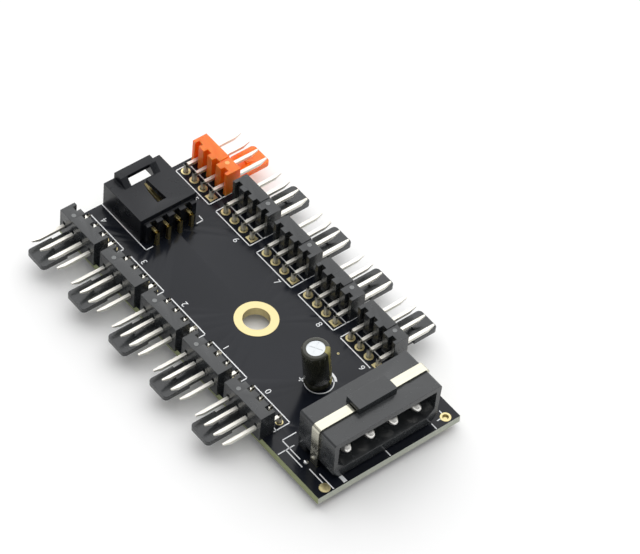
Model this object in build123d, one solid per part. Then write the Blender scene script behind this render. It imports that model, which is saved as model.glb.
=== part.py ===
from build123d import *
import os
from math import atan, cos, degrees, radians, sin, tan

# Fan controller hub: one board that carries two rows of right-angle fan headers,
# a shrouded speed-signal input at one end and a four-pin power inlet at the other.
# Millimetres, +Z up. The origin is on the floor under the mounting hole,
# +X points to the power inlet and +Y to the row with the odd-coloured header.

# Board and its mounting hole
board_length = 74.3
board_width = 31.0
board_thickness = 1.6
tail_length = 1.4
mounting_bore = 5.0
mounting_ring_diameter = 8.0
ring_thickness = 0.08
corner_hole_diameter = 1.2
corner_hole_end_inset = 1.25
corner_hole_side_inset = 2.3

# Square pins, shared by the fan headers and the input
pin_size = 0.64
pin_pitch = 2.54
pin_count = 4
pin_bend_cut = 0.42
pin_tip_length = 1.5
pin_tip_size = 0.3
pin_clearance = 0.02

# Fan header housings, measured outwards from the row of soldered pins
fans_per_side = 5
fan_gap_share = 0.1422
fan_inset_share = 0.0747
fan_pad_inset = 4.67
fan_end_margin = 1.27
fan_back = 2.2
fan_front = 5.3
fan_height = 5.7
fan_pin_height = 3.09
fan_pin_reach = 12.25
fan_groove_width = 1.1
fan_groove_depth = 0.9
fan_step_depth = 0.2
fan_step_from_pin = 2.1

# Friction tongue under the fan pins
tongue_reach = 13.4
tongue_width = 5.0
tongue_neck_width = 4.3
tongue_neck_length = 2.8
tongue_top = 1.2
tongue_thickness = 1.0
tongue_corner = 0.8
latch_width = 1.3
latch_height = 0.4
latch_ramp = 1.5
latch_from_end = 4.0

# Speed-signal input: shroud, latch hood and comb at the back
shroud_setback = 0.15
shroud_depth = 11.1
shroud_width = 12.3
shroud_height = 5.5
shroud_wall = 1.0
shroud_rear_wall = 1.7
hood_width = 7.8
hood_length = 1.9
hood_slope_length = 1.6
hood_rise = 1.4
hood_roof = 0.9
window_width = 4.9
window_length = 1.45
keyway_front_width = 1.2
keyway_back_width = 2.9
keyway_length = 5.7
comb_width = 10.8
comb_depth = 1.1
comb_ledge = 0.3
comb_height = 4.4
input_pin_height = 3.4
input_pin_inset = 2.5
input_pad_gap = 1.9

# Power inlet: housing, round pins and hold-down strap
power_setback = 1.55
power_depth = 9.5
power_top_width = 23.2
power_flare = 0.4
power_foot_length = 2.0
power_height = 9.5
power_standoff = 0.3
power_chamfer = 1.4
power_edge_radius = 0.5
cavity_width = 21.0
cavity_chamfer = 1.6
cavity_floor = 2.4
cavity_roof = 8.3
power_rear_wall = 1.9
power_pin_pitch = 5.08
power_pin_diameter = 2.1
power_pin_height = 5.0
power_pin_inset = 0.6
power_nose_length = 1.6
power_nose_diameter = 1.0
power_tail_width = 1.4
power_tail_thickness = 0.8
power_tail_cut = 0.5
power_tail_gap = 1.6
strap_width = 1.85
strap_thickness = 0.35
strap_from_back = 3.75
strap_clearance = 0.03
bridge_length = 3.5
bridge_width = 8.2
bridge_gap = 0.25
bridge_roof = 0.9

# Capacitor
can_diameter = 4.8
can_height = 9.8
can_lean = 8.0
can_edge = 0.4
can_from_end = 19.85
bead_depth = 0.3
bead_height = 1.6
bead_width = 0.8
sleeve_thickness = 0.1
sleeve_lip = 0.75
bung_diameter = 3.6
bung_height = 0.6
lead_diameter = 0.5
lead_pitch = 2.0
lead_hole_diameter = 1.0

# Solder cones on the underside
solder_sides = 6
solder_spread = 0.65
solder_tip_spread = 0.25
solder_height = 0.9

# Places that follow from the sizes above
board_bottom = tail_length
board_top = board_bottom + board_thickness
tail_end_z = -board_thickness - tail_length
fan_length = (pin_count - 1) * pin_pitch + 2 * fan_end_margin
fan_row_y = board_width / 2 - fan_pad_inset
pin_xs = [(i - (pin_count - 1) / 2) * pin_pitch for i in range(pin_count)]
pin_hole = pin_size + 2 * pin_clearance
shroud_front_x = -board_length / 2 + shroud_setback
shroud_back_x = shroud_front_x + shroud_depth
input_pad_x = shroud_back_x + input_pad_gap
power_front_x = board_length / 2 - power_setback
power_back_x = power_front_x - power_depth
fan_spare = power_back_x + board_length / 2 - fans_per_side * fan_length
fan_pitch = fan_length + fan_gap_share * fan_spare
fan_first_x = -board_length / 2 + fan_inset_share * fan_spare + fan_length / 2
fan_xs = [fan_first_x + fan_pitch * k for k in range(fans_per_side)]
power_tail_x = power_back_x - power_tail_gap
power_ys = [(i - (pin_count - 1) / 2) * power_pin_pitch for i in range(pin_count)]
strap_x = power_back_x + strap_from_back + strap_width / 2
side_slope = power_flare / power_height
power_foot_width = power_top_width - 2 * power_flare
strap_offset = strap_thickness / 2 + strap_clearance
strap_foot_y = power_foot_width / 2 + strap_offset / cos(atan(side_slope))
can_x = board_length / 2 - can_from_end
can_base_z = board_top + (can_diameter / 2 + sleeve_thickness) * sin(radians(can_lean))
corner_x = board_length / 2 - corner_hole_end_inset
corner_y = board_width / 2 - corner_hole_side_inset


def block(x0, x1, y0, y1, z0, z1):
    return Pos((x0 + x1) / 2, (y0 + y1) / 2, (z0 + z1) / 2) * Box(x1 - x0, y1 - y0, z1 - z0)


def lead_shift(z):
    # sideways travel of the leaning leads between the foot of the can and height z
    return (can_base_z - z) * tan(radians(can_lean))


def bent_strip(start, corner, end, thickness, cut):
    # side view of a strip that rises from start and turns once at corner, its outer edge cut there
    half = thickness / 2
    side = half if end > corner[0] else -half
    outer = (corner[0] - side, corner[1] + half)
    outline = make_face(Polyline((corner[0] - side, start), (corner[0] + side, start),
                                 (corner[0] + side, corner[1] - half), (end, corner[1] - half),
                                 (end, corner[1] + half), outer, close=True))
    return chamfer(outline.vertices().sort_by_distance(outer)[0], cut)


def bent_pin(axis_z, reach):
    # square pin: straight tail at y=0, one bend, then out along +Y to a tapered tip
    strip = bent_strip(tail_end_z, (0, axis_z), reach, pin_size, pin_bend_cut)
    pin = extrude(Plane.YZ * strip, amount=pin_size / 2, both=True)
    point = pin.faces().sort_by(Axis.Y)[-1]
    return chamfer(point.edges(), (pin_size - pin_tip_size) / 2, pin_tip_length, reference=point)


def fan_housing():
    # pad row on y=0, plug side on +Y, first pin at the +X end, board top on z=0
    half = fan_length / 2
    first_pin = pin_xs[-1]
    body = block(-half, half, fan_back, fan_front, 0, fan_height)
    body -= block(first_pin - fan_step_from_pin, half, fan_back, fan_front,
                  fan_height - fan_step_depth, fan_height)
    for x in pin_xs:
        body -= block(x - fan_groove_width / 2, x + fan_groove_width / 2,
                      fan_back, fan_back + fan_groove_depth, 0, fan_height)
        body -= block(x - pin_hole / 2, x + pin_hole / 2, fan_back, fan_front,
                      fan_pin_height - pin_hole / 2, fan_pin_height + pin_hole / 2)
    return body + fan_tongue(first_pin - pin_pitch)


def fan_tongue(centre):
    # flexible tongue with a narrow root, rounded end corners and a ramp that grips the plug
    neck_end = fan_front + tongue_neck_length
    root = Pos(centre, (fan_front + neck_end) / 2) * Rectangle(tongue_neck_width, tongue_neck_length)
    blade = Pos(centre, (neck_end + tongue_reach) / 2) * Rectangle(tongue_width, tongue_reach - neck_end)
    blade = fillet(blade.vertices().group_by(Axis.Y)[-1], tongue_corner)
    tongue = extrude(Pos(0, 0, tongue_top - tongue_thickness) * (root + blade), amount=tongue_thickness)
    ramp_start = tongue_reach - latch_from_end
    ramp = Polyline((ramp_start, tongue_top), (ramp_start + latch_ramp, tongue_top),
                    (ramp_start, tongue_top + latch_height), close=True)
    latch = extrude(Plane.YZ * make_face(ramp), amount=latch_width / 2, both=True)
    return tongue + Pos(centre, 0, 0) * latch


def fan_pins():
    pin = bent_pin(fan_pin_height, fan_pin_reach)
    return [Pos(x, 0, 0) * pin for x in pin_xs]


def input_shroud():
    # open towards -X, with a raised hood over the latch window and a keyway behind it
    half, front, back = shroud_width / 2, shroud_front_x, shroud_back_x
    roof = shroud_height - shroud_wall
    hood_end, hood_top = front + hood_length, shroud_height + hood_rise
    slope_end = hood_end + hood_slope_length
    side = Polyline((front, roof), (front, hood_top), (hood_end, hood_top),
                    (slope_end, shroud_height), (slope_end, roof), close=True)
    body = block(front, back, -half, half, 0, shroud_height)
    body += extrude(Plane.XZ * make_face(side), amount=hood_width / 2, both=True)
    body += block(back, back + comb_depth, -comb_width / 2, comb_width / 2, 0, comb_height)
    body -= block(front, back - shroud_rear_wall, shroud_wall - half, half - shroud_wall, shroud_wall, roof)
    body -= block(front, hood_end, -window_width / 2, window_width / 2, roof, hood_top - hood_roof)
    window_end = hood_end + window_length
    body -= block(hood_end, window_end, -window_width / 2, window_width / 2, roof, hood_top)
    narrow, wide = keyway_front_width / 2, keyway_back_width / 2
    keyway = Polyline((window_end, -narrow), (window_end + keyway_length, -wide),
                      (window_end + keyway_length, wide), (window_end, narrow), close=True)
    body -= extrude(Pos(0, 0, roof) * make_face(keyway), amount=hood_top - roof)
    for y in pin_xs:
        body -= block(back + comb_ledge, back + comb_depth,
                      y - fan_groove_width / 2, y + fan_groove_width / 2, 0, comb_height)
        body -= block(back - shroud_rear_wall, back + comb_depth, y - pin_hole / 2, y + pin_hole / 2,
                      input_pin_height - pin_hole / 2, input_pin_height + pin_hole / 2)
    return body


def input_pins():
    reach = input_pad_x - shroud_front_x - input_pin_inset
    pin = bent_pin(input_pin_height, reach)
    return [Pos(input_pad_x, y, 0) * Rot(0, 0, 90) * pin for y in pin_xs]


def power_side(z):
    # half width of the inlet at height z, wider towards the top
    return power_foot_width / 2 + z * side_slope


def power_section():
    # cross-section of the shell: lower corners cut off, upper edges rounded
    low, cut, high = power_standoff, power_standoff + power_chamfer, power_height
    right = [(power_side(low) - power_chamfer, low), (power_side(cut), cut), (power_side(high), high)]
    left = [(-y, z) for y, z in reversed(right)]
    outline = make_face(Polyline(*right, *left, close=True))
    return fillet(outline.vertices().group_by(Axis.Y)[-1], power_edge_radius)


def power_foot():
    # solid root that stands on the board behind the raised shell
    high = power_standoff + power_chamfer
    return make_face(Polyline((-power_side(0), 0), (power_side(0), 0), (power_side(high), high),
                              (-power_side(high), high), close=True))


def power_cavity():
    # keyed mouth: the two lower corners are cut off
    half = cavity_width / 2
    bevel = cavity_chamfer
    right = [(half - bevel, cavity_floor), (half, cavity_floor + bevel), (half, cavity_roof)]
    left = [(-y, z) for y, z in reversed(right)]
    return make_face(Polyline(*right, *left, close=True))


def power_housing():
    rear = Plane(origin=(power_back_x, 0, 0), x_dir=(0, 1, 0), z_dir=(1, 0, 0))
    inner = rear.offset(power_rear_wall)
    body = extrude(rear * power_section(), amount=power_depth)
    body += extrude(rear * power_foot(), amount=power_foot_length)
    body -= extrude(inner * power_cavity(), amount=power_depth)
    tunnel = strap_thickness + strap_clearance + bridge_gap
    bridge, slot = bridge_length / 2, strap_width / 2 + strap_clearance
    body += block(strap_x - bridge, strap_x + bridge, -bridge_width / 2, bridge_width / 2,
                  power_height, power_height + tunnel + bridge_roof)
    body -= block(strap_x - slot, strap_x + slot, -bridge_width / 2, bridge_width / 2,
                  power_height, power_height + tunnel)
    hole = power_pin_diameter / 2 + pin_clearance
    for y in power_ys:
        body -= extrude(rear * Pos(y, power_pin_height) * Circle(hole), amount=power_rear_wall)
    return body


def power_pins():
    # round contact with a tapered nose, and a flat tail bent down behind the housing
    length = power_depth - power_pin_inset
    radius, nose = power_pin_diameter / 2, power_nose_diameter / 2
    profile = make_face(Polyline((0, 0), (length, 0), (length, nose), (length - power_nose_length, radius),
                                 (0, radius), close=True))
    rod = Pos(power_back_x, 0, power_pin_height) * Rot(90, 0, 0) * revolve(profile, Axis.X)
    strip = bent_strip(tail_end_z, (power_tail_x, power_pin_height), power_back_x,
                       power_tail_thickness, power_tail_cut)
    tail = extrude(Plane.XZ * strip, amount=power_tail_width / 2, both=True)
    return [Pos(0, y, 0) * (rod + tail) for y in power_ys]


def power_strap():
    # one bent strip: down both sides of the housing, over its top and through the board
    top_z = power_height + strap_offset
    top_y = strap_foot_y + top_z * side_slope
    bend = power_edge_radius + strap_offset
    over = FilletPolyline((-strap_foot_y, 0), (-top_y, top_z), (top_y, top_z), (strap_foot_y, 0), radius=bend)
    strip = trace(over, line_width=strap_thickness)
    for side in (-1, 1):
        strip += Pos(side * strap_foot_y, tail_end_z / 2) * Rectangle(strap_thickness, -tail_end_z)
    section = Plane(origin=(strap_x, 0, 0), x_dir=(0, 1, 0), z_dir=(1, 0, 0)) * strip
    return extrude(section, amount=strap_width / 2, both=True)


def can_outline(radius, bead):
    # side of the can from foot to top, with the rolled-in bead near the foot
    return [(radius, 0), (radius, bead_height - bead_width / 2), (radius - bead, bead_height),
            (radius, bead_height + bead_width / 2), (radius, can_height - can_edge),
            (radius - can_edge, can_height)]


def capacitor_can():
    inner = bung_diameter / 2
    profile = can_outline(can_diameter / 2, bead_depth)
    closing = [(0, can_height), (0, bung_height), (inner, bung_height), (inner, 0)]
    return revolve(Plane.XZ * make_face(Polyline(*profile, *closing, close=True)), Axis.Z)


def capacitor_sleeve():
    inside = can_outline(can_diameter / 2, bead_depth)
    outside = can_outline(can_diameter / 2 + sleeve_thickness, bead_depth)
    lip = can_diameter / 2 - sleeve_lip
    crown = [(lip, can_height), (lip, can_height + sleeve_thickness)]
    outside[-1] = (outside[-1][0] - sleeve_thickness, can_height + sleeve_thickness)
    profile = inside + crown + outside[::-1]
    return revolve(Plane.XZ * make_face(Polyline(*profile, close=True)), Axis.Z)


def capacitor_bung():
    return Pos(0, 0, bung_height / 2) * Cylinder(bung_diameter / 2, bung_height)


def capacitor_leads():
    angle = radians(can_lean)
    length = (can_base_z - (lead_pitch + lead_diameter) / 2 * sin(angle)) / cos(angle)
    leads = []
    for side in (-1, 1):
        rod = Pos(0, side * lead_pitch / 2, -length / 2) * Cylinder(lead_diameter / 2, length)
        leads.append(rod)
    return leads


def lean(solid):
    # tips the capacitor towards -Y about the foot of its axis
    return Pos(can_x, 0, can_base_z) * Rot(can_lean, 0, 0) * solid


def fan_places():
    # numbered from the power end on the -Y side, then from the input end on the +Y side
    places = []
    for x in reversed(fan_xs):
        places.append(Pos(x, -fan_row_y, board_top) * Rot(0, 0, 180))
    for x in fan_xs:
        places.append(Pos(x, fan_row_y, board_top))
    return places


def circuit_board(lead_ys):
    sheet = Rectangle(board_length, board_width)
    square = Rectangle(pin_hole, pin_hole)
    cuts = [Pos(x + dx, side * fan_row_y) * square for side in (-1, 1) for x in fan_xs for dx in pin_xs]
    cuts += [Pos(input_pad_x, y) * square for y in pin_xs]
    tail = Rectangle(power_tail_thickness + 2 * pin_clearance, power_tail_width + 2 * pin_clearance)
    cuts += [Pos(power_tail_x, y) * tail for y in power_ys]
    foot = Rectangle(strap_width + 2 * pin_clearance, strap_thickness + 2 * pin_clearance)
    cuts += [Pos(strap_x, side * strap_foot_y) * foot for side in (-1, 1)]
    cuts += [Pos(can_x, y) * Circle(lead_hole_diameter / 2) for y in lead_ys]
    cuts += [Pos(corner_x, side * corner_y) * Circle(corner_hole_diameter / 2) for side in (-1, 1)]
    cuts.append(Circle(mounting_bore / 2))
    return extrude(Pos(0, 0, board_bottom) * (sheet - cuts), amount=board_thickness)


def mounting_rings():
    # plated land around the mounting hole, one on each face of the board
    land = Circle(mounting_ring_diameter / 2) - Circle(mounting_bore / 2)
    ring = extrude(land, amount=ring_thickness)
    return [Pos(0, 0, board_top) * ring, Pos(0, 0, board_bottom - ring_thickness) * ring]


def solder_cone(foot):
    # solder that hangs from the underside of the board and narrows down the tail
    narrowing = degrees(atan((solder_spread - solder_tip_spread) / solder_height))
    return Pos(0, 0, board_bottom) * Rot(180, 0, 0) * extrude(foot, amount=solder_height, taper=narrowing)


def round_joint(diameter):
    return solder_cone(RegularPolygon(diameter / 2 + solder_spread, solder_sides))


def flat_joint(length, width):
    cone = solder_cone(Rectangle(length + 2 * solder_spread, width + 2 * solder_spread))
    return cone - Pos(0, 0, board_bottom / 2) * Box(length, width, board_top)


def solder_joints(lead_ys, leads):
    pin_joint = flat_joint(pin_size, pin_size)
    joints = [Pos(x + dx, side * fan_row_y, 0) * pin_joint
              for side in (-1, 1) for x in fan_xs for dx in pin_xs]
    joints += [Pos(input_pad_x, y, 0) * pin_joint for y in pin_xs]
    tail_joint = flat_joint(power_tail_thickness, power_tail_width)
    joints += [Pos(power_tail_x, y, 0) * tail_joint for y in power_ys]
    foot_joint = flat_joint(strap_width, strap_thickness)
    joints += [Pos(strap_x, side * strap_foot_y, 0) * foot_joint for side in (-1, 1)]
    joints += [Pos(can_x, y, 0) * round_joint(lead_diameter) - lead for y, lead in zip(lead_ys, leads)]
    return joints


def save(name, pieces):
    solids = [solid for piece in pieces for solid in piece.solids()]
    export_step(Compound(solids), os.path.join("parts", name + ".step"))


os.makedirs("parts", exist_ok=True)

leads = [lean(lead) for lead in capacitor_leads()]
lead_mid_ys = [side * lead_pitch / 2 + lead_shift((board_bottom + board_top) / 2) for side in (-1, 1)]
lead_low_ys = [side * lead_pitch / 2 + lead_shift(board_bottom) for side in (-1, 1)]

save("circuit_board", [circuit_board(lead_mid_ys)])
save("mounting_ring", mounting_rings())
housing, pins = fan_housing(), fan_pins()
for number, place in enumerate(fan_places()):
    save(f"fan_housing_{number}", [place * housing])
    save(f"fan_pins_{number}", [place * pin for pin in pins])
on_board = Pos(0, 0, board_top)
save("input_shroud", [on_board * input_shroud()])
save("input_pins", [on_board * pin for pin in input_pins()])
save("power_housing", [on_board * power_housing()])
save("power_pins", [on_board * pin for pin in power_pins()])
save("power_strap", [on_board * power_strap()])
save("capacitor_can", [lean(capacitor_can())])
save("capacitor_sleeve", [lean(capacitor_sleeve())])
save("capacitor_bung", [lean(capacitor_bung())])
save("capacitor_leads", leads)
save("solder_joints", solder_joints(lead_low_ys, leads))
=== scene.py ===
from math import atan2, cos, hypot, pi, radians, sin, tan

import bpy
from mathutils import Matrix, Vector


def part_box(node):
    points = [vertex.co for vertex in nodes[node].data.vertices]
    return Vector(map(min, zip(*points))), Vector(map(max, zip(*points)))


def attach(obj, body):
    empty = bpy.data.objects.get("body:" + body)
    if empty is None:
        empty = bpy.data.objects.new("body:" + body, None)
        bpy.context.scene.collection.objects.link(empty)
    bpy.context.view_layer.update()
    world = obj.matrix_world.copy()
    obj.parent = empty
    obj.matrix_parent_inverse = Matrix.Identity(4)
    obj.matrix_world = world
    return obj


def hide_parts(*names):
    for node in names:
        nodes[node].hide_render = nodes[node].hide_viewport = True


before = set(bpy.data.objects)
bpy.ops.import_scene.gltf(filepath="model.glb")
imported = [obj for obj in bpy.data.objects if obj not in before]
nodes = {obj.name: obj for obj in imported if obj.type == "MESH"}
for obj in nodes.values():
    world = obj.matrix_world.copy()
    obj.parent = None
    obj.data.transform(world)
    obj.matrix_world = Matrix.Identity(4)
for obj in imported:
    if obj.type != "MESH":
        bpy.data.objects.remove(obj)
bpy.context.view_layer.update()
mm = 0.001


def boxOf(nodeName):
    # lowest and highest corner of a CAD node, in mm
    low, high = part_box(nodeName)
    return low / mm, high / mm


boardLow, boardHigh = (corner.z for corner in boxOf("circuit_board"))
boardEnd = boxOf("circuit_board")[1].x
print("frame loaded:", len(nodes), "nodes, board top at", round(boardHigh, 3), "mm")


# colours and shader nodes

def linear(hexCode):
    values = [int(hexCode[i:i + 2], 16) / 255 for i in (1, 3, 5)]
    return tuple(v / 12.92 if v <= 0.04045 else ((v + 0.055) / 1.055) ** 2.4 for v in values) + (1.0,)


def addNode(tree, kind, settings=None, inputs=None):
    node = tree.nodes.new(kind)
    for key, value in (settings or {}).items():
        setattr(node, key, value)
    for key, value in (inputs or {}).items():
        if isinstance(value, bpy.types.NodeSocket):
            tree.links.new(value, node.inputs[key])
        else:
            node.inputs[key].default_value = value
    return node


noiseLow, noiseHigh = 0.3, 0.7   # nearly all values of a noise texture lie between these


def newMaterial(name, shader):
    material = bpy.data.materials.new(name)
    material.use_nodes = True
    tree = material.node_tree
    surface = tree.nodes["Principled BSDF"]
    for key, value in shader.items():
        surface.inputs[key].default_value = value
    place = addNode(tree, "ShaderNodeTexCoord").outputs["Object"]
    return material, tree, surface, place


def dress(tree, surface, sockets):
    for key, value in sockets.items():
        tree.links.new(value, surface.inputs[key])


# selection, modifiers and finishing

def clearSelection():
    if bpy.context.mode != "OBJECT":
        bpy.ops.object.mode_set(mode="OBJECT")
    bpy.ops.object.select_all(action="DESELECT")


def pickOnly(piece):
    clearSelection()
    piece.select_set(True)
    bpy.context.view_layer.objects.active = piece


def editAll(piece):
    # edit mode with everything selected
    pickOnly(piece)
    bpy.ops.object.mode_set(mode="EDIT")
    bpy.ops.mesh.select_all(action="SELECT")


def editFaces(piece, wanted):
    # edit mode with only the wanted faces selected
    editAll(piece)
    bpy.ops.mesh.select_mode(type="FACE")
    bpy.ops.mesh.select_all(action="DESELECT")
    bpy.ops.object.mode_set(mode="OBJECT")
    for face in piece.data.polygons:
        face.select = bool(wanted(face))
    bpy.ops.object.mode_set(mode="EDIT")


def leaveEdit():
    bpy.ops.object.mode_set(mode="OBJECT")


def applyPlace(piece):
    pickOnly(piece)
    bpy.ops.object.transform_apply(location=True, rotation=True, scale=True)


def applyModifier(piece, kind, **settings):
    pickOnly(piece)
    bpy.ops.object.modifier_add(type=kind)
    modifier = piece.modifiers[-1]
    for key, value in settings.items():
        setattr(modifier, key, value)
    bpy.ops.object.modifier_apply(modifier=modifier.name)


def joinAll(pieces):
    clearSelection()
    for piece in pieces:
        piece.select_set(True)
    bpy.context.view_layer.objects.active = pieces[0]
    if len(pieces) > 1:
        bpy.ops.object.join()
    return bpy.context.view_layer.objects.active


def copyTo(piece, place, turn=0.0, size=(1, 1, 1)):
    # a copy with its own mesh, moved to a place in mm
    twin = piece.copy()
    twin.data = piece.data.copy()
    bpy.context.scene.collection.objects.link(twin)
    twin.location = Vector(place) * mm
    twin.rotation_euler = (0, 0, turn)
    twin.scale = size
    applyPlace(twin)
    return twin


def smoothByAngle(piece, angle):
    pickOnly(piece)
    bpy.ops.object.shade_smooth_by_angle(angle=radians(angle))


def easeEdges(piece, width, angle=40):
    # small round on every edge; the low smoothing angle keeps the flat faces flat to the eye
    applyModifier(piece, "BEVEL", width=width * mm, segments=2, limit_method="ANGLE",
                  angle_limit=radians(angle))
    smoothByAngle(piece, 20)


def finishPiece(piece, name, material, slotName, *replaced):
    piece.name = name
    piece.data.name = name
    piece.data.materials.clear()
    piece.data.materials.append(material)
    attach(piece, "root")
    if replaced:
        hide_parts(*replaced)


# materials

maskLook = {"face": "#12151b", "patch": "#191c24", "patchSize": 9.0, "gloss": 0.24, "skin": 0.02,
            "faceRough": 0.2, "edgeRough": 0.85, "weave": 0.45, "weaveBump": 0.05, "weaveDepth": 0.02,
            "fibre": "#a4ab84", "resin": "#858c66", "endFibreLit": "#cdd0c4", "endResinLit": "#b2b6a8",
            "endDepth": 0.05, "layer": 0.22, "layerWaver": 1.2}


def solderMask():
    # liquid solder mask cured over copper and glass fibre: satin black faces with a faint print-through of
    # the
    #     # weave, and pale layered fibre on the cut edges; the edge at the +X end is painted paler and greyer
    #     still,
    #     # a painted highlight for the light that end catches
    shader = {"IOR": 1.5, "Specular IOR Level": maskLook["gloss"]}
    material, tree, surface, place = newMaterial("solderMaskOnGlassFibre", shader)
    axes = addNode(tree, "ShaderNodeSeparateXYZ", inputs={"Vector": place}).outputs
    middle = (boardLow + boardHigh) / 2 * mm
    fromMiddle = addNode(tree, "ShaderNodeMath", {"operation": "SUBTRACT"},
                         {0: axes["Z"], 1: middle}).outputs[0]
    distance = addNode(tree, "ShaderNodeMath", {"operation": "ABSOLUTE"}, {0: fromMiddle}).outputs[0]
    onFace = addNode(tree, "ShaderNodeMath", {"operation": "GREATER_THAN"},
                     {0: distance, 1: ((boardHigh - boardLow) / 2 - maskLook["skin"]) * mm}).outputs[0]
    patches = addNode(tree, "ShaderNodeTexNoise",
                      inputs={"Vector": place, "Scale": 1 / (maskLook["patchSize"] * mm),
                              "Detail": 3.0}).outputs["Fac"]
    weave = addNode(tree, "ShaderNodeTexNoise",
                    inputs={"Vector": place, "Scale": 1 / (maskLook["weave"] * mm),
                            "Detail": 2.0}).outputs["Fac"]
    tone = addNode(tree, "ShaderNodeMix", {"data_type": "RGBA"},
                   {0: patches, 6: linear(maskLook["face"]), 7: linear(maskLook["patch"])}).outputs[2]
    layers = addNode(tree, "ShaderNodeTexWave", {"bands_direction": "Z"},
                     {"Vector": place, "Scale": pi / (10 * maskLook["layer"] * mm),
                      "Distortion": maskLook["layerWaver"], "Detail": 2.0}).outputs["Fac"]
    # painted highlight: the edge at the +X end takes the paler end colours below
    atEnd = addNode(tree, "ShaderNodeMath", {"operation": "GREATER_THAN"},
                    {0: axes["X"], 1: (boardEnd - maskLook["endDepth"]) * mm}).outputs[0]
    longEdge = addNode(tree, "ShaderNodeMix", {"data_type": "RGBA"},
                       {0: layers, 6: linear(maskLook["resin"]), 7: linear(maskLook["fibre"])}).outputs[2]
    litEndEdge = addNode(tree, "ShaderNodeMix", {"data_type": "RGBA"},
                        {0: layers, 6: linear(maskLook["endResinLit"]),
                         7: linear(maskLook["endFibreLit"])}).outputs[2]
    edge = addNode(tree, "ShaderNodeMix", {"data_type": "RGBA"},
                   {0: atEnd, 6: longEdge, 7: litEndEdge}).outputs[2]
    colour = addNode(tree, "ShaderNodeMix", {"data_type": "RGBA"}, {0: onFace, 6: edge, 7: tone}).outputs[2]
    rough = addNode(tree, "ShaderNodeMapRange",
                    inputs={"Value": onFace, "To Min": maskLook["edgeRough"],
                            "To Max": maskLook["faceRough"]}).outputs[0]
    bump = addNode(tree, "ShaderNodeBump",
                   inputs={"Height": weave, "Strength": maskLook["weaveBump"],
                           "Distance": maskLook["weaveDepth"] * mm}).outputs[0]
    dress(tree, surface, {"Base Color": colour, "Roughness": rough, "Normal": bump})
    return material


nylonLook = {"mottle": 1.8, "waver": 0.06, "grain": 0.2, "grainBump": 0.06, "grainDepth": 0.012,
             "glowReach": (1.0, 0.12, 0.02), "glowDepth": 1.3}


def mouldedNylon(name, dark, light, roughness, gloss, glow=0.0):
    # injection-moulded nylon: even colour, fine spark-eroded grain, soft gloss that wavers a little
    shader = {"IOR": 1.53, "Specular IOR Level": gloss}
    if glow:   # unfilled resin lets some light through and turns redder in its shaded parts
        shader.update({"Subsurface Weight": glow, "Subsurface Radius": nylonLook["glowReach"],
                       "Subsurface Scale": nylonLook["glowDepth"] * mm})
    material, tree, surface, place = newMaterial(name, shader)
    mottle = addNode(tree, "ShaderNodeTexNoise",
                     inputs={"Vector": place, "Scale": 1 / (nylonLook["mottle"] * mm),
                             "Detail": 3.0}).outputs["Fac"]
    grain = addNode(tree, "ShaderNodeTexNoise",
                    inputs={"Vector": place, "Scale": 1 / (nylonLook["grain"] * mm),
                            "Detail": 2.0}).outputs["Fac"]
    colour = addNode(tree, "ShaderNodeMix", {"data_type": "RGBA"},
                     {0: mottle, 6: linear(dark), 7: linear(light)}).outputs[2]
    rough = addNode(tree, "ShaderNodeMapRange",
                    inputs={"Value": mottle, "From Min": noiseLow, "From Max": noiseHigh,
                            "To Min": roughness - nylonLook["waver"],
                            "To Max": roughness + nylonLook["waver"]}).outputs[0]
    bump = addNode(tree, "ShaderNodeBump",
                   inputs={"Height": grain, "Strength": nylonLook["grainBump"],
                           "Distance": nylonLook["grainDepth"] * mm}).outputs[0]
    dress(tree, surface, {"Base Color": colour, "Roughness": rough, "Normal": bump})
    return material


metalLook = {"drawn": 0.06, "waver": 0.25, "bump": 0.025, "bumpDepth": 0.01}


def platedMetal(name, dark, light, roughness, streak, along="none"):
    # plated or drawn metal: bright, with fine streaks along the way it was drawn
    material, tree, surface, place = newMaterial(name, {"Metallic": 1.0})
    stretch = [metalLook["drawn"] if axis == along else 1 for axis in "XYZ"]
    drawn = addNode(tree, "ShaderNodeMapping", inputs={"Vector": place, "Scale": stretch}).outputs[0]
    streaks = addNode(tree, "ShaderNodeTexNoise",
                      inputs={"Vector": drawn, "Scale": 1 / (streak * mm), "Detail": 3.0}).outputs["Fac"]
    colour = addNode(tree, "ShaderNodeMix", {"data_type": "RGBA"},
                     {0: streaks, 6: linear(dark), 7: linear(light)}).outputs[2]
    rough = addNode(tree, "ShaderNodeMapRange",
                    inputs={"Value": streaks, "From Min": noiseLow, "From Max": noiseHigh,
                            "To Min": roughness * (1 - metalLook["waver"]),
                            "To Max": roughness * (1 + metalLook["waver"])}).outputs[0]
    bump = addNode(tree, "ShaderNodeBump",
                   inputs={"Height": streaks, "Strength": metalLook["bump"],
                           "Distance": metalLook["bumpDepth"] * mm}).outputs[0]
    dress(tree, surface, {"Base Color": colour, "Roughness": rough, "Normal": bump})
    return material


def patchyMatt(name, dark, light, roughness, patch):
    # matt ink or rubber: opaque, a little uneven where it was laid thin or has worn
    material, tree, surface, place = newMaterial(name, {"Roughness": roughness})
    thin = addNode(tree, "ShaderNodeTexNoise",
                   inputs={"Vector": place, "Scale": 1 / (patch * mm), "Detail": 3.0}).outputs["Fac"]
    colour = addNode(tree, "ShaderNodeMix", {"data_type": "RGBA"},
                     {0: thin, 6: linear(dark), 7: linear(light)}).outputs[2]
    dress(tree, surface, {"Base Color": colour})
    return material


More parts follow.
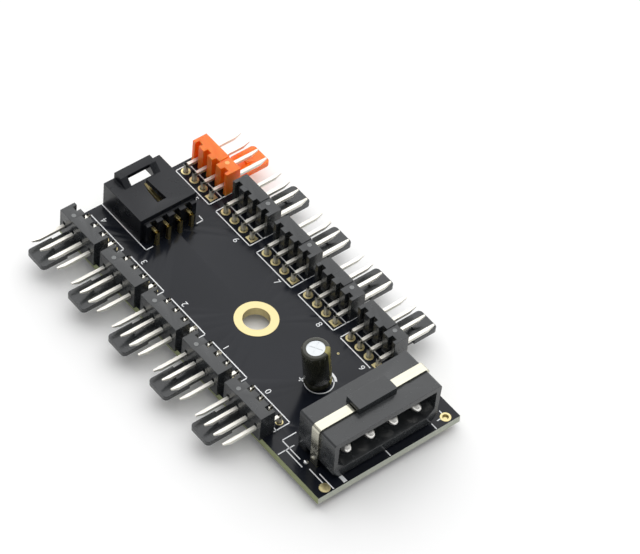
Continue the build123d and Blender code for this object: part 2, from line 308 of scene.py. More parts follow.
maskMaterial = solderMask()
blackNylon = mouldedNylon("mouldedNylonBlack", "#26282a", "#303335", 0.24, 0.5)
darkNylon = mouldedNylon("mouldedNylonDark", "#13151a", "#1a1c21", 0.3, 0.24)
orangeNylon = mouldedNylon("mouldedNylonOrange", "#f5741a", "#fd8824", 0.34, 0.36, 1.0)
# the gate spots are coloured pale grey and pale orange: a painted highlight standing for the glint off each
# dished spot
blackGateGlint = mouldedNylon("gateSpotPaintedHighlightBlack", "#6a6c6d", "#8a8c8c", 0.55, 0.4)
orangeGateGlint = mouldedNylon("gateSpotPaintedHighlightOrange", "#ffae5c", "#ffc682", 0.55, 0.4)
tinPlate = platedMetal("mattTinPlate", "#e6e4dc", "#f7f5ee", 0.62, 0.4, "Y")
brightTin = platedMetal("brightTinPlate", "#eceae4", "#fbfaf6", 0.3, 0.4, "X")
goldPlate = platedMetal("immersionGold", "#c4b582", "#d8cca0", 0.42, 0.5)
goldPin = platedMetal("flashGoldPin", "#d0b970", "#efe0ac", 0.34, 0.4, "X")
strapTin = platedMetal("tinnedStrip", "#bebbaa", "#d2d0c1", 0.2, 0.6, "Y")
bareAluminium = platedMetal("drawnAluminium", "#b4b8ba", "#c6cacc", 0.34, 0.5)
solderAlloy = platedMetal("reflowedSolder", "#b9babb", "#dddddc", 0.24, 0.5)
whiteInk = patchyMatt("screenPrintedInk", "#e4e7ea", "#fbfcfc", 0.65, 0.4)
bungRubber = patchyMatt("butylRubber", "#171717", "#242424", 0.85, 0.5)
print("materials:", len(bpy.data.materials))


# moulded and sheet pieces keep the frame's shape, with their edges eased

easeLook = {"plastic": 0.09, "board": 0.05, "strap": 0.05, "merge": 0.0005, "flatWithin": 1, "sharpFrom": 30}


def easedCopy(nodeName, width, reshape=None):
    source = nodes[nodeName]
    piece = source.copy()
    piece.data = source.data.copy()
    piece.parent = None
    for key in list(piece.keys()):
        del piece[key]
    bpy.context.scene.collection.objects.link(piece)
    editAll(piece)
    bpy.ops.mesh.remove_doubles(threshold=easeLook["merge"] * mm)
    bpy.ops.mesh.dissolve_limited(angle_limit=radians(easeLook["flatWithin"]))
    leaveEdit()
    if reshape:
        for vertex in piece.data.vertices:
            reshape(vertex.co)
    easeEdges(piece, width, easeLook["sharpFrom"])
    return piece


keywayLook = {"end": -27.95, "half": 1.45, "share": 0.67, "near": 0.05}


def narrowKeyway(place):
    # the keyway's far end is narrower to the eye than in the solid
    offEnd = abs(place.x / mm - keywayLook["end"])
    offSide = abs(abs(place.y / mm) - keywayLook["half"])
    if max(offEnd, offSide) < keywayLook["near"]:
        place.y *= keywayLook["share"]


gateLook = {"radius": 0.42, "height": 0.05, "rim": 0.1, "dish": 0.012, "fromFirstPin": 1.2, "fromFront": 1.15}


def gateMark():
    # the small dished spot that the moulding gate leaves
    clearSelection()
    bpy.ops.mesh.primitive_cylinder_add(vertices=24, radius=gateLook["radius"] * mm,
                                        depth=gateLook["height"] * mm)
    mark = bpy.context.active_object
    editFaces(mark, lambda face: face.normal.z > 0.9)
    bpy.ops.mesh.inset(thickness=gateLook["rim"] * mm)
    bpy.ops.transform.translate(value=(0, 0, -gateLook["dish"] * mm))
    leaveEdit()
    smoothByAngle(mark, 50)
    return mark


pinLook = {"size": 0.64, "bend": 0.36, "tip": 1.5, "tipSize": 0.3, "ease": 0.05, "sharpFrom": 50,
           "merge": 0.001, "drop": 0.85, "jogFrom": 3.4, "jogTo": 4.9}
halfPin = pinLook["size"] / 2
fanLow, fanHigh = boxOf("fan_pins_5")
pinPitch = (fanHigh.x - fanLow.x - pinLook["size"]) / 3
pinSteps = [(i - 1.5) * pinPitch for i in range(4)]
pinTail = boardHigh - fanLow.z
pinHeight = fanHigh.z - halfPin - boardHigh


def fanPlace(number):
    # middle of a header along the board, the Y of its row of holes, and the side it faces
    low, high = boxOf(f"fan_pins_{number}")
    side = 1 if low.y > 0 else -1
    row = low.y + halfPin if side > 0 else high.y - halfPin
    return (low.x + high.x) / 2, row, side


wallLook = {"front": 5.3, "step": 0.2, "closeFrom": 3.13, "closeTo": 3.9, "closeSize": 0.72}


def wallClosing():
    # nylon that closes the pin's passage at the back of the wall, where the pin runs lower
    clearSelection()
    bpy.ops.mesh.primitive_cube_add(size=1)
    block = bpy.context.active_object
    block.scale = (wallLook["closeSize"] * mm, (wallLook["closeTo"] - wallLook["closeFrom"]) * mm,
                   wallLook["closeSize"] * mm)
    applyPlace(block)
    return block


gate = gateMark()
gateMarks = []
closing = wallClosing()
closingOut = (wallLook["closeFrom"] + wallLook["closeTo"]) / 2
housingTop = boxOf("fan_housing_5")[1].z - wallLook["step"]   # level of the lower step at the first pin
for number in range(10):
    nodeName = f"fan_housing_{number}"
    x, row, side = fanPlace(number)
    gateX = x + side * (pinSteps[3] - gateLook["fromFirstPin"])
    gateY = row + side * (wallLook["front"] - gateLook["fromFront"])
    mark = copyTo(gate, (gateX, gateY, housingTop))
    closings = [copyTo(closing, (x + step, row + side * closingOut, boardHigh + pinHeight))
                for step in pinSteps]
    housing = joinAll([easedCopy(nodeName, easeLook["plastic"])] + closings)
    if number == 5:
        finishPiece(housing, f"fanHousing.{number}", orangeNylon, "orange_plastic", nodeName)
        finishPiece(mark, "gateMarkOrange", orangeGateGlint, "orange_plastic")
    else:
        finishPiece(housing, f"fanHousing.{number}", blackNylon, "black_plastic", nodeName)
        gateMarks.append(mark)
bpy.data.objects.remove(gate)
bpy.data.objects.remove(closing)
finishPiece(joinAll(gateMarks), "gateMarksBlack", blackGateGlint, "black_plastic")
finishPiece(easedCopy("power_housing", easeLook["plastic"]), "powerHousing", blackNylon, "black_plastic",
            "power_housing")
finishPiece(easedCopy("input_shroud", easeLook["plastic"], narrowKeyway), "inputShroud", darkNylon,
            "black_plastic", "input_shroud")
finishPiece(easedCopy("power_strap", easeLook["strap"]), "powerStrap", strapTin, "tinned_strap",
            "power_strap")
finishPiece(easedCopy("circuit_board", easeLook["board"]), "circuitBoard", maskMaterial, "solder_mask",
            "circuit_board")
print("housings, strap and board eased")


# bent pins

def bentBar(width, thickness, low, bendHeight, bendRadius, length):
    # a bar that stands on z = low, turns towards +Y at bendHeight and ends at y = length;
    # its end face is left selected
    clearSelection()
    bpy.ops.mesh.primitive_plane_add(size=1, location=(0, 0, low * mm))
    bar = bpy.context.active_object
    bar.scale = (width * mm, thickness * mm, 1)
    applyPlace(bar)
    editAll(bar)
    bpy.ops.mesh.flip_normals()
    rise = (bendHeight - bendRadius - low) * mm
    bpy.ops.mesh.extrude_region_move(TRANSFORM_OT_translate={"value": (0, 0, rise)})
    centre = (0, bendRadius * mm, (bendHeight - bendRadius) * mm)
    bpy.ops.mesh.spin(steps=8, angle=radians(90), center=centre, axis=(-1, 0, 0))
    bpy.ops.mesh.extrude_region_move(TRANSFORM_OT_translate={"value": (0, (length - bendRadius) * mm, 0)})
    return bar


def squarePin(height, reach, drop=0.0):
    run = reach - pinLook["tip"]
    pin = bentBar(pinLook["size"], pinLook["size"], -pinTail, height - drop, pinLook["bend"],
                  pinLook["jogFrom"] if drop else run)
    if drop:   # the step up is inside the housing wall
        jog = (0, (pinLook["jogTo"] - pinLook["jogFrom"]) * mm, drop * mm)
        onwards = (0, (run - pinLook["jogTo"]) * mm, 0)
        bpy.ops.mesh.extrude_region_move(TRANSFORM_OT_translate={"value": jog})
        bpy.ops.mesh.extrude_region_move(TRANSFORM_OT_translate={"value": onwards})
    bpy.ops.mesh.extrude_region_move(TRANSFORM_OT_translate={"value": (0, pinLook["tip"] * mm, 0)})
    shrink = pinLook["tipSize"] / pinLook["size"]
    bpy.ops.transform.resize(value=(shrink, 1, shrink), center_override=(0, reach * mm, height * mm))
    bpy.ops.mesh.select_all(action="SELECT")
    bpy.ops.mesh.remove_doubles(threshold=pinLook["merge"] * mm)
    bpy.ops.mesh.normals_make_consistent(inside=False)
    leaveEdit()
    easeEdges(pin, pinLook["ease"], pinLook["sharpFrom"])
    return pin


fanPin = squarePin(pinHeight, fanHigh.y - fanLow.y - halfPin, pinLook["drop"])
for number in range(10):
    x, row, side = fanPlace(number)
    pins = [copyTo(fanPin, (x + step, row, boardHigh), 0 if side > 0 else pi) for step in pinSteps]
    finishPiece(joinAll(pins), f"fanPins.{number}", tinPlate, "tinned_pin", f"fan_pins_{number}")
bpy.data.objects.remove(fanPin)

inputLow, inputHigh = boxOf("input_pins")
inputPad = inputHigh.x - halfPin
inputPin = squarePin(inputHigh.z - halfPin - boardHigh, inputPad - inputLow.x)
pins = [copyTo(inputPin, (inputPad, step, boardHigh), pi / 2) for step in pinSteps]
bpy.data.objects.remove(inputPin)
finishPiece(joinAll(pins), "inputPins", goldPin, "gold_pin", "input_pins")
print("square pins bent")


# round power contacts with bullet noses and flat tails

contactLook = {"radius": 1.05, "nose": [(0.45, 0.94), (0.4, 0.82), (0.35, 0.66), (0.25, 0.48), (0.15, 0.28)],
               "tailWidth": 1.4, "tailThick": 0.8, "tailBend": 0.45, "tailEase": 0.08}
powerLow, powerHigh = boxOf("power_pins")
inletBack = boxOf("power_housing")[0].x
contactHeight = powerHigh.z - contactLook["radius"] - boardHigh
contactSteps = [(i / 3 - 0.5) * (powerHigh.y - powerLow.y - 2 * contactLook["radius"]) for i in range(4)]
tailX = powerLow.x + contactLook["tailThick"] / 2


def powerContact():
    straight = powerHigh.x - sum(step for step, share in contactLook["nose"]) - inletBack
    clearSelection()
    bpy.ops.mesh.primitive_cylinder_add(vertices=40, radius=contactLook["radius"] * mm, depth=straight * mm,
                                        location=((inletBack + straight / 2) * mm, 0, contactHeight * mm),
                                        rotation=(0, pi / 2, 0))
    rod = bpy.context.active_object
    applyPlace(rod)
    editFaces(rod, lambda face: face.normal.x > 0.9)
    centre = Vector(((inletBack + straight) * mm, 0, contactHeight * mm))
    before = 1.0
    for step, share in contactLook["nose"]:
        centre.x += step * mm
        bpy.ops.mesh.extrude_region_move(TRANSFORM_OT_translate={"value": (step * mm, 0, 0)})
        bpy.ops.transform.resize(value=(1, share / before, share / before), center_override=centre)
        before = share
    leaveEdit()
    tail = bentBar(contactLook["tailWidth"], contactLook["tailThick"], -pinTail, contactHeight,
                   contactLook["tailBend"], inletBack - tailX)
    bpy.ops.mesh.select_all(action="SELECT")
    bpy.ops.mesh.remove_doubles(threshold=pinLook["merge"] * mm)
    bpy.ops.mesh.normals_make_consistent(inside=False)
    leaveEdit()
    applyModifier(tail, "BEVEL", width=contactLook["tailEase"] * mm, segments=2, limit_method="ANGLE",
                  angle_limit=radians(pinLook["sharpFrom"]))
    tail.rotation_euler = (0, 0, -pi / 2)
    tail.location = (tailX * mm, 0, 0)
    applyPlace(tail)
    contact = joinAll([rod, tail])
    smoothByAngle(contact, 40)
    return contact


contact = powerContact()
contacts = [copyTo(contact, (0, y, boardHigh)) for y in contactSteps]
bpy.data.objects.remove(contact)
finishPiece(joinAll(contacts), "powerPins", brightTin, "tinned_pin", "power_pins")
print("power contacts turned")


# capacitor

canLook = {"radius": 2.4, "height": 9.8, "foot": 0.55, "lean": 8.0, "edge": 0.4, "film": 0.1,
           "filmShare": 0.8, "lip": 0.75, "bead": 1.6, "beadWidth": 0.8, "beadDepth": 0.3, "score": 0.16,
           "scoreLength": 2.6, "scoreDepth": 0.05, "scoreTurn": 0.5}
filmLook = {"dark": "#22231d", "light": "#36372a", "gold": "#8f8747", "roughness": 0.18, "ripple": 0.9,
            "rippleBump": 0.35, "rippleDepth": 0.04, "stripeTurn": 40, "stripeHalf": 20, "barHalf": 10,
            "barStep": 2.6, "barThick": 0.5}
canX = (boxOf("capacitor_can")[0].x + boxOf("capacitor_can")[1].x) / 2
canLean = radians(canLook["lean"])
canBase = boardHigh + (canLook["radius"] + canLook["film"]) * sin(canLean)


def leanCan(piece):
    piece.rotation_euler = (canLean, 0, 0)
    piece.location = (canX * mm, 0, canBase * mm)
    applyPlace(piece)
    return piece


def cupOutline(radius, height, edge):
    # cylinder with a rounded top edge and the rolled-in bead near its foot
    clearSelection()
    foot = canLook["foot"]   # the rubber bung shows below it
    bpy.ops.mesh.primitive_cylinder_add(vertices=72, radius=radius * mm, depth=(height - foot) * mm,
                                        location=(0, 0, (height + foot) / 2 * mm))
    can = bpy.context.active_object
    applyPlace(can)
    bpy.ops.object.mode_set(mode="EDIT")
    for offset in (-0.5, -0.25, 0, 0.25, 0.5):
        bpy.ops.mesh.select_all(action="SELECT")
        cutHeight = canLook["bead"] + offset * canLook["beadWidth"]
        bpy.ops.mesh.bisect(plane_co=(0, 0, cutHeight * mm), plane_no=(0, 0, 1))
    leaveEdit()
    for vertex in can.data.vertices:
        away = abs(vertex.co.z / mm - canLook["bead"]) / (canLook["beadWidth"] / 2)
        if away < 0.99:
            pinch = 1 - canLook["beadDepth"] / radius * (0.5 + 0.5 * cos(pi * away))
            vertex.co.x *= pinch
            vertex.co.y *= pinch
    editFaces(can, lambda face: face.normal.z > 0.9)
    bpy.ops.mesh.bevel(offset=edge * mm, segments=5, affect="EDGES")
    leaveEdit()
    return can


def capacitorCan():
    can = cupOutline(canLook["radius"], canLook["height"], canLook["edge"])
    for turn in (canLook["scoreTurn"], canLook["scoreTurn"] + pi / 2):   # crossed vent score
        clearSelection()
        bpy.ops.mesh.primitive_cube_add(size=1, location=(0, 0, canLook["height"] * mm),
                                        rotation=(0, 0, turn))
        cutter = bpy.context.active_object
        cutter.scale = (canLook["scoreLength"] * mm, canLook["score"] * mm, 2 * canLook["scoreDepth"] * mm)
        applyPlace(cutter)
        applyModifier(can, "BOOLEAN", operation="DIFFERENCE", object=cutter, solver="EXACT")
        bpy.data.objects.remove(cutter)
    smoothByAngle(can, 35)
    return leanCan(can)


def shrinkSleeve():
    film = canLook["film"]
    sleeve = cupOutline(canLook["radius"] + film, canLook["height"] + film, canLook["edge"] + film)
    editFaces(sleeve, lambda face: face.normal.z > 0.99)
    bpy.ops.mesh.inset(thickness=(canLook["lip"] - canLook["edge"]) * mm)
    bpy.ops.mesh.delete(type="FACE")
    leaveEdit()
    editFaces(sleeve, lambda face: face.normal.z < -0.99)
    bpy.ops.mesh.delete(type="FACE")
    leaveEdit()
    applyModifier(sleeve, "SOLIDIFY", thickness=film * canLook["filmShare"] * mm, offset=-1)
    smoothByAngle(sleeve, 40)
    return leanCan(sleeve)


def sleeveFilm():
    # shrunk PVC film: glossy olive black, slightly rippled, with a printed gold stripe broken by dark bars
    shader = {"IOR": 1.52, "Roughness": filmLook["roughness"]}
    material, tree, surface, place = newMaterial("printedShrinkFilm", shader)
    upright = addNode(tree, "ShaderNodeMapping", {"vector_type": "TEXTURE"},
                      {"Vector": place, "Location": (canX * mm, 0, canBase * mm),
                       "Rotation": (canLean, 0, 0)}).outputs[0]
    axes = addNode(tree, "ShaderNodeSeparateXYZ", inputs={"Vector": upright}).outputs
    angle = addNode(tree, "ShaderNodeMath", {"operation": "ARCTAN2"}, {0: axes["Y"], 1: axes["X"]}).outputs[0]
    offStripe = addNode(tree, "ShaderNodeMath", {"operation": "SUBTRACT"},
                        {0: angle, 1: radians(filmLook["stripeTurn"])}).outputs[0]
    spread = addNode(tree, "ShaderNodeMath", {"operation": "ABSOLUTE"}, {0: offStripe}).outputs[0]
    inStripe = addNode(tree, "ShaderNodeMath", {"operation": "LESS_THAN"},
                       {0: spread, 1: radians(filmLook["stripeHalf"])}).outputs[0]
    inBar = addNode(tree, "ShaderNodeMath", {"operation": "LESS_THAN"},
                    {0: spread, 1: radians(filmLook["barHalf"])}).outputs[0]
    steps = addNode(tree, "ShaderNodeMath", {"operation": "MODULO"},
                    {0: axes["Z"], 1: filmLook["barStep"] * mm}).outputs[0]
    barRow = addNode(tree, "ShaderNodeMath", {"operation": "LESS_THAN"},
                     {0: steps, 1: filmLook["barThick"] * mm}).outputs[0]
    bar = addNode(tree, "ShaderNodeMath", {"operation": "MULTIPLY"}, {0: inBar, 1: barRow}).outputs[0]
    gold = addNode(tree, "ShaderNodeMath", {"operation": "SUBTRACT", "use_clamp": True},
                   {0: inStripe, 1: bar}).outputs[0]
    ripple = addNode(tree, "ShaderNodeTexNoise",
                     inputs={"Vector": place, "Scale": 1 / (filmLook["ripple"] * mm),
                             "Detail": 2.0}).outputs["Fac"]
    film = addNode(tree, "ShaderNodeMix", {"data_type": "RGBA"},
                   {0: ripple, 6: linear(filmLook["dark"]), 7: linear(filmLook["light"])}).outputs[2]
    colour = addNode(tree, "ShaderNodeMix", {"data_type": "RGBA"},
                     {0: gold, 6: film, 7: linear(filmLook["gold"])}).outputs[2]
    bump = addNode(tree, "ShaderNodeBump",
                   inputs={"Height": ripple, "Strength": filmLook["rippleBump"],
                           "Distance": filmLook["rippleDepth"] * mm}).outputs[0]
    dress(tree, surface, {"Base Color": colour, "Normal": bump})
    return material


finishPiece(capacitorCan(), "capacitorCan", bareAluminium, "bare_aluminium", "capacitor_can")
finishPiece(shrinkSleeve(), "capacitorSleeve", sleeveFilm(), "shrink_sleeve", "capacitor_sleeve")
print("capacitor made")

for nodeName, material in {"mounting_ring": goldPlate, "capacitor_bung": bungRubber,
                           "capacitor_leads": tinPlate}.items():
    nodes[nodeName].data.materials.clear()
    nodes[nodeName].data.materials.append(material)


# printed legend

inkLook = {"line": 0.21, "thick": 0.02, "numberSize": 1.75, "numberAlong": 2.57, "numberRow": 7.66}
fanOutline = {"start": -4.95, "end": 5.05, "line": 9.4, "inner": 12.35, "edge": 14.9, "cutShort": 19.95}
canPrint = {"centre": (17.38, 0.22), "radius": 2.58, "plus": (15.19, -1.98), "arm": 0.42, "wedge": 3.15,
            "wedgeCuts": [((17.05, 3.27), (18.59, 1.95)), ((18.59, 1.95), (19.1, 2.85))]}
endBlock = {"start": (35.85, -9.5), "end": (36.55, -9.5), "width": 0.75}
endLines = [((-37.0, -6.3), (-23.8, -6.3), (-23.8, -4.85)),
            ((-24.95, 6.3), (-23.75, 6.3), (-23.75, 4.9)),
            ((23.8, -9.9), (23.8, -12.85), (28.7, -12.85)),
            ((25.82, -15.2), (25.82, -11.9)),
            ((25.82, -13.6), (30.2, -13.6)),
            ((31.4, -12.85), (34.8, -12.85)),
            ((33.2, -12.1), (36.85, -12.1)),
            ((35.75, 0.2), (36.9, 0.2)),
            ((35.75, 10.3), (36.95, 10.3)),
            ((34.3, 13.2), (35.0, 13.2)),
            ((35.7, 11.6), (35.7, 12.1))]
strokes = []


def addStroke(start, end, width=inkLook["line"]):
    middle = ((start[0] + end[0]) / 2 * mm, (start[1] + end[1]) / 2 * mm, boardHigh * mm)
    clearSelection()
    bpy.ops.mesh.primitive_plane_add(size=1, location=middle,
                                     rotation=(0, 0, atan2(end[1] - start[1], end[0] - start[0])))
    stroke = bpy.context.active_object
    stroke.scale = ((hypot(end[0] - start[0], end[1] - start[1]) + width) * mm, width * mm, 1)
    applyPlace(stroke)
    strokes.append(stroke)


def addPath(*points):
    for start, end in zip(points, points[1:]):
        addStroke(start, end)


def flatDisc(centre, radius, vertices=96):
    clearSelection()
    bpy.ops.mesh.primitive_circle_add(vertices=vertices, radius=radius * mm, fill_type="NGON",
                                      location=(centre[0] * mm, centre[1] * mm, boardHigh * mm))
    disc = bpy.context.active_object
    applyPlace(disc)
    return disc


def openMiddle(disc, width):
    # leaves a ring of the given width
    editAll(disc)
    bpy.ops.mesh.inset(thickness=width * mm)
    bpy.ops.mesh.delete(type="FACE")
    leaveEdit()
    return disc


for number in range(10):
    x, row, side = fanPlace(number)
    left, right = x + side * fanOutline["start"], x + side * fanOutline["end"]
    line, inner, edge = (side * fanOutline[key] for key in ("line", "inner", "edge"))
    if number == 9:   # the inlet covers the rest of this outline
        right = fanOutline["cutShort"]
        addPath((left, edge), (left, line), (right, line))
    else:
        addPath((left, edge), (left, line), (right, line), (right, edge))
    addPath((left, inner), (right, inner))
for points in endLines:
    addPath(*points)
addStroke(endBlock["start"], endBlock["end"], endBlock["width"])
plusX, plusY = canPrint["plus"]
for dx, dy in ((canPrint["arm"], 0), (0, canPrint["arm"])):
    addStroke((plusX - dx, plusY - dy), (plusX + dx, plusY + dy))

capRing = openMiddle(flatDisc(canPrint["centre"], canPrint["radius"] + inkLook["line"] / 2), inkLook["line"])
wedge = flatDisc(canPrint["centre"], canPrint["wedge"])
for (x0, y0), (x1, y1) in canPrint["wedgeCuts"]:   # two cuts leave the slice that marks the striped side
    editAll(wedge)
    bpy.ops.mesh.bisect(plane_co=(x0 * mm, y0 * mm, boardHigh * mm), plane_no=(y0 - y1, x1 - x0, 0),
                        clear_inner=True)
    leaveEdit()

numerals = []
for number in range(10):
    x, row, side = fanPlace(number)
    clearSelection()
    place = Vector((x + side * inkLook["numberAlong"], side * inkLook["numberRow"],
                    boardHigh + inkLook["thick"] / 2))
    bpy.ops.object.text_add(location=place * mm, rotation=(0, 0, 0 if side > 0 else pi))
    numeral = bpy.context.active_object
    numeral.data.body = str(number)
    numeral.data.size = inkLook["numberSize"] * mm
    numeral.data.align_x = "CENTER"
    numeral.data.resolution_u = 4
    numeral.data.extrude = inkLook["thick"] / 2 * mm
    bpy.ops.object.convert(target="MESH")
    applyPlace(numeral)
    numerals.append(numeral)
legend = joinAll(strokes + [capRing, wedge])
applyModifier(legend, "SOLIDIFY", thickness=inkLook["thick"] * mm, offset=1)
finishPiece(joinAll([legend] + numerals), "printedLegend", whiteInk, "solder_mask")
print("legend printed")


# gold lands and plated barrels around the holes

landLook = {"outer": 0.9, "outerNear": 0.72, "inner": 0.5, "square": 1.7, "thick": 0.05, "ease": 0.02,
            "plating": 0.03, "corner": 1.0, "cornerHole": 0.6, "cornerX": 35.9, "cornerY": 13.2,
            "fillRadius": 1.02, "fillRise": 0.1, "plugDeep": 0.4, "boreRadius": 2.5,
            "via": (14.31, 6.86), "viaRadius": 0.22}


def roundLand(outer, inner):
    land = openMiddle(flatDisc((0, 0), outer, 40), outer - inner)
    land.location = (0, 0, -boardHigh * mm)
    applyPlace(land)
    applyModifier(land, "SOLIDIFY", thickness=landLook["thick"] * mm, offset=1)
    easeEdges(land, landLook["ease"])
    return land


def squareLand(side, inner):
    clearSelection()
    bpy.ops.mesh.primitive_cube_add(size=1, location=(0, 0, landLook["thick"] / 2 * mm))
    land = bpy.context.active_object
    land.scale = (side * mm, side * mm, landLook["thick"] * mm)
    applyPlace(land)
    clearSelection()
    bpy.ops.mesh.primitive_cylinder_add(vertices=40, radius=inner * mm, depth=1 * mm)
    drill = bpy.context.active_object
    applyModifier(land, "BOOLEAN", operation="DIFFERENCE", object=drill, solver="EXACT")
    bpy.data.objects.remove(drill)
    easeEdges(land, landLook["ease"])
    return land


def platedBarrel(radius):
    # thin plating on the wall of a hole
    clearSelection()
    bpy.ops.mesh.primitive_cylinder_add(vertices=64, radius=radius * mm, depth=(boardHigh - boardLow) * mm,
                                        end_fill_type="NOTHING",
                                        location=(0, 0, (boardLow + boardHigh) / 2 * mm))
    barrel = bpy.context.active_object
    applyPlace(barrel)
    applyModifier(barrel, "SOLIDIFY", thickness=landLook["plating"] * mm, offset=-1)
    smoothByAngle(barrel, 40)
    return barrel


def metalDome(radius, rise):
    # a low drop of metal with a flat foot
    clearSelection()
    bpy.ops.mesh.primitive_uv_sphere_add(segments=28, ring_count=14, radius=radius * mm)
    dome = bpy.context.active_object
    editAll(dome)
    bpy.ops.mesh.bisect(plane_co=(0, 0, 0), plane_no=(0, 0, 1), clear_inner=True, use_fill=True)
    bpy.ops.mesh.select_all(action="SELECT")
    bpy.ops.transform.resize(value=(1, 1, rise / radius), center_override=(0, 0, 0))
    leaveEdit()
    smoothByAngle(dome, 60)
    return dome


fanPads = []
for number in range(10):
    x, row, side = fanPlace(number)
    for i, step in enumerate(pinSteps):
        fanPads.append((x + step, row, side > 0 and i == 3))   # square at the first pins of the +Y side
inputPads = [(inputPad, step, False) for step in pinSteps]
underZ = boardLow - landLook["thick"]
ringModel = roundLand(landLook["outer"], landLook["inner"])
nearModel = roundLand(landLook["outerNear"], landLook["inner"])   # smaller lands along the -Y edge
squareModel = squareLand(landLook["square"], landLook["inner"])
cornerModel = roundLand(landLook["corner"], landLook["cornerHole"])
viaModel = roundLand(landLook["viaRadius"], landLook["viaRadius"] / 2)
barrelModel = platedBarrel(landLook["cornerHole"])
lands = []
for x, y, square in fanPads:
    model = nearModel if y < 0 else squareModel if square else ringModel
    lands.append(copyTo(model, (x, y, boardHigh)))
lands += [copyTo(ringModel, (x, y, underZ)) for x, y, square in fanPads + inputPads]
lands.append(copyTo(viaModel, (*landLook["via"], boardHigh)))
for side in (-1, 1):
    cornerY = side * landLook["cornerY"]
    lands.append(copyTo(cornerModel, (landLook["cornerX"], cornerY, boardHigh)))
    lands.append(copyTo(cornerModel, (landLook["cornerX"], cornerY, underZ)))
    lands.append(copyTo(barrelModel, (landLook["cornerX"], cornerY, 0)))
lands.append(platedBarrel(landLook["boreRadius"]))
for model in (ringModel, nearModel, squareModel, cornerModel, viaModel, barrelModel):
    bpy.data.objects.remove(model)
goldFill = metalDome(landLook["fillRadius"], landLook["fillRise"])
lands.append(copyTo(goldFill, (landLook["cornerX"], -landLook["cornerY"], boardHigh)))
bpy.data.objects.remove(goldFill)
goldPlug = metalDome(landLook["cornerHole"] - landLook["plating"], landLook["fillRise"])
lands.append(copyTo(goldPlug, (landLook["cornerX"], landLook["cornerY"], boardHigh - landLook["plugDeep"])))
bpy.data.objects.remove(goldPlug)
finishPiece(joinAll(lands), "goldLands", goldPlate, "gold_plating")
print("lands plated")


# solder on the underside, and the one drop on top

solderLook = {"profile": [(0.12, 0.8), (0.35, 0.62), (0.65, 0.52), (0.9, 0.46)], "spread": 0.65,
              "strapFoot": 11.405, "strapHalf": (0.925, 0.175), "leadRadius": 0.25, "leadPitch": 2.0,
              "drop": (29.8, -12.4), "dropRadius": 0.5, "dropRise": 0.3}


def solderFillet():
    # solder that climbs down a tail, hollow-sided, one unit wide at its foot
    clearSelection()
    bpy.ops.mesh.primitive_circle_add(vertices=24, radius=1 * mm, fill_type="NGON")
    fillet = bpy.context.active_object
    editAll(fillet)
    bpy.ops.mesh.flip_normals()
    before, depth = 1.0, 0.0
    for down, share in solderLook["profile"]:
        bpy.ops.mesh.extrude_region_move(TRANSFORM_OT_translate={"value": (0, 0, (depth - down) * mm)})
        shrink = share / before
        bpy.ops.transform.resize(value=(shrink, shrink, 1), center_override=(0, 0, -down * mm))
        before, depth = share, down
    bpy.ops.mesh.select_all(action="SELECT")
    bpy.ops.mesh.normals_make_consistent(inside=False)
    leaveEdit()
    smoothByAngle(fillet, 50)
    return fillet


filletModel = solderFillet()
spread = solderLook["spread"]
strapX = (boxOf("power_strap")[0].x + boxOf("power_strap")[1].x) / 2
leadShift = (canBase - boardLow) * tan(canLean)
joints = [(x, y, halfPin, halfPin) for x, y, square in fanPads + inputPads]
joints += [(tailX, y, contactLook["tailThick"] / 2, contactLook["tailWidth"] / 2) for y in contactSteps]
for side in (-1, 1):
    joints.append((strapX, side * solderLook["strapFoot"], *solderLook["strapHalf"]))
    joints.append((canX, leadShift + side * solderLook["leadPitch"] / 2, solderLook["leadRadius"],
                   solderLook["leadRadius"]))
fillets = [copyTo(filletModel, (x, y, boardLow), size=(halfX + spread, halfY + spread, 1))
           for x, y, halfX, halfY in joints]
bpy.data.objects.remove(filletModel)
topDrop = metalDome(solderLook["dropRadius"], solderLook["dropRise"])
fillets.append(copyTo(topDrop, (*solderLook["drop"], boardHigh)))
bpy.data.objects.remove(topDrop)
finishPiece(joinAll(fillets), "solderJoints", solderAlloy, "solder", "solder_joints")
print("solder joints:", len(joints))


# stage: white floor, one broad soft light from behind, camera as in the photograph

stageLook = {"floor": "#f6f6f6", "lift": 0.05, "skyBack": 0.7, "skyFront": 0.36, "key": 2.2,
             "skyTurn": (-0.1, 0.8), "keyFrom": (-0.5, 0.45, 0.75), "keySpread": 100}
viewLook = {"place": (298.95, -264.77, 472.27), "turn": (41.009, -4.103, 51.709), "lens": 198.98}


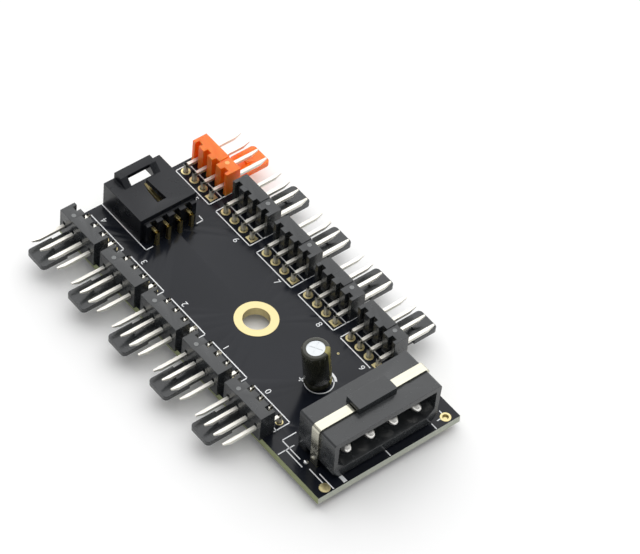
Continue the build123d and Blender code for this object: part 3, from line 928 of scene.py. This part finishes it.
def whiteFloor():
    clearSelection()
    bpy.ops.mesh.primitive_plane_add(size=8, location=(0, 0, 0))
    floor = bpy.context.active_object
    floor.name = "floor"
    shader = {"Base Color": linear(stageLook["floor"]), "Roughness": 0.9, "Emission Color": (1, 1, 1, 1)}
    material, tree, surface, place = newMaterial("whiteCard", shader)
    path = addNode(tree, "ShaderNodeLightPath").outputs
    seen = addNode(tree, "ShaderNodeMath", {"operation": "MAXIMUM"},
                   {0: path["Is Camera Ray"], 1: path["Is Glossy Ray"]}).outputs[0]
    shown = addNode(tree, "ShaderNodeMath", {"operation": "MAXIMUM"},
                    {0: seen, 1: path["Is Transmission Ray"]}).outputs[0]
    lift = addNode(tree, "ShaderNodeMath", {"operation": "MULTIPLY"},
                   {0: shown, 1: stageLook["lift"]}).outputs[0]
    dress(tree, surface, {"Emission Strength": lift})
    floor.data.materials.append(material)


def broadKey():
    light = bpy.data.lights.new("broadKey", "SUN")
    light.energy = stageLook["key"]
    light.angle = radians(stageLook["keySpread"])
    lamp = bpy.data.objects.new("broadKey", light)
    bpy.context.scene.collection.objects.link(lamp)
    lamp.rotation_euler = (-Vector(stageLook["keyFrom"])).to_track_quat("-Z", "Y").to_euler()


def setCamera():
    camera = bpy.data.cameras.new("camera")
    camera.sensor_width = 36
    camera.sensor_fit = "HORIZONTAL"
    camera.lens = viewLook["lens"]
    camera.clip_start = 0.01
    holder = bpy.data.objects.new("camera", camera)
    bpy.context.scene.collection.objects.link(holder)
    holder.location = Vector(viewLook["place"]) * mm
    holder.rotation_euler = [radians(a) for a in viewLook["turn"]]
    bpy.context.scene.camera = holder


def paleSky():
    # even white sky, brighter behind the object than in front of it
    world = bpy.context.scene.world or bpy.data.worlds.new("world")
    bpy.context.scene.world = world
    world.use_nodes = True
    tree = world.node_tree
    sky = tree.nodes["Background"]
    sky.inputs["Color"].default_value = (1, 1, 1, 1)
    towards = addNode(tree, "ShaderNodeTexCoord").outputs["Generated"]
    behind = addNode(tree, "ShaderNodeVectorMath", {"operation": "DOT_PRODUCT"},
                     {0: towards, 1: Vector(stageLook["keyFrom"]).normalized()}).outputs["Value"]
    turnFrom, turnTo = stageLook["skyTurn"]
    strength = addNode(tree, "ShaderNodeMapRange",
                       inputs={"Value": behind, "From Min": turnFrom, "From Max": turnTo,
                               "To Min": stageLook["skyFront"], "To Max": stageLook["skyBack"]}).outputs[0]
    tree.links.new(strength, sky.inputs["Strength"])


whiteFloor()
broadKey()
setCamera()
paleSky()
bpy.context.scene.view_settings.view_transform = "Standard"
print("stage set")
